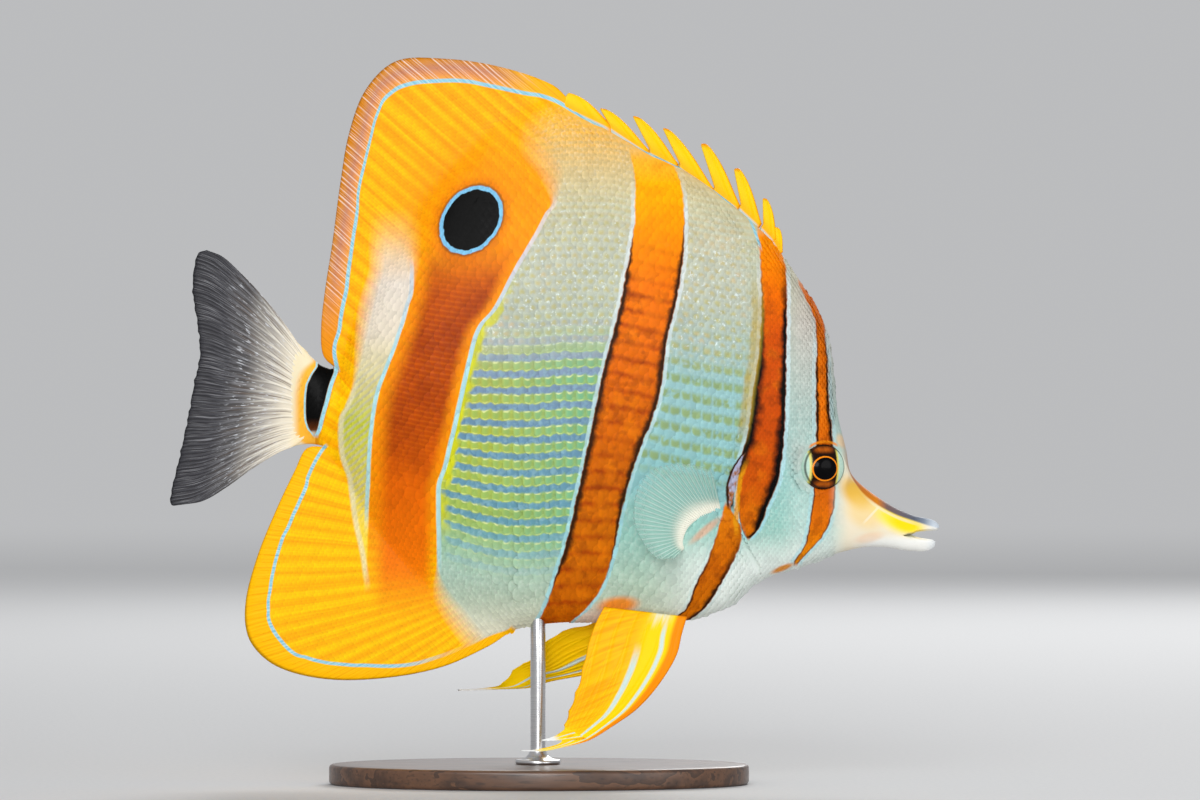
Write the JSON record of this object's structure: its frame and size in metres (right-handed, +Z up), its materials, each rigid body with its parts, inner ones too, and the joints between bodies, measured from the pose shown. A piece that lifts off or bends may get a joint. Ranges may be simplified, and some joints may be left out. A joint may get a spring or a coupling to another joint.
{
  "type": "copperband butterflyfish display model",
  "caption": "Life-size still model of a copperband butterflyfish with long snout, banded flanks and an eyespot on its dorsal fin, held by a rod on an oval base.",
  "frame": {"origin": "middle of the bounding box at the underside of the stand's base, where the model rests", "axes": "+X towards the snout, +Y towards the fish's left side, +Z up"},
  "size_m": [0.1539, 0.052, 0.1453],
  "materials": {
    "skin_pale": "pale blue-grey scaled skin, wet satin",
    "skin_orange": "orange and silver banded scaled skin, wet satin",
    "snout_cream": "cream and ochre smooth skin, wet satin",
    "fin_yellow": "yellow-orange rayed fin, satin",
    "fin_clear": "clear greyish rayed fin, satin",
    "eye": "dark glossy eye with a thin orange ring",
    "stand_wood": "dark stained wood, satin lacquer",
    "stand_steel": "fine brushed steel"
  },
  "bodies": {
    "root": {"head": "skin_pale", "gill_cover_right": "skin_pale", "gill_cover_left": "skin_pale", "snout": "snout_cream", "upper_jaw": "snout_cream", "lower_jaw": "snout_cream", "trunk": "skin_orange", "tail_stalk": "skin_orange", "dorsal_fin_spiny": "fin_yellow", "dorsal_fin_soft": "fin_yellow", "anal_fin": "fin_yellow", "pelvic_fin_right": "fin_yellow", "pelvic_fin_left": "fin_yellow", "pectoral_fin_right": "fin_clear", "pectoral_fin_left": "fin_clear", "caudal_fin": "fin_clear", "eye_right": "eye", "eye_left": "eye", "stand_base": "stand_wood", "stand_rod": "stand_steel"}
  },
  "joints": []
}
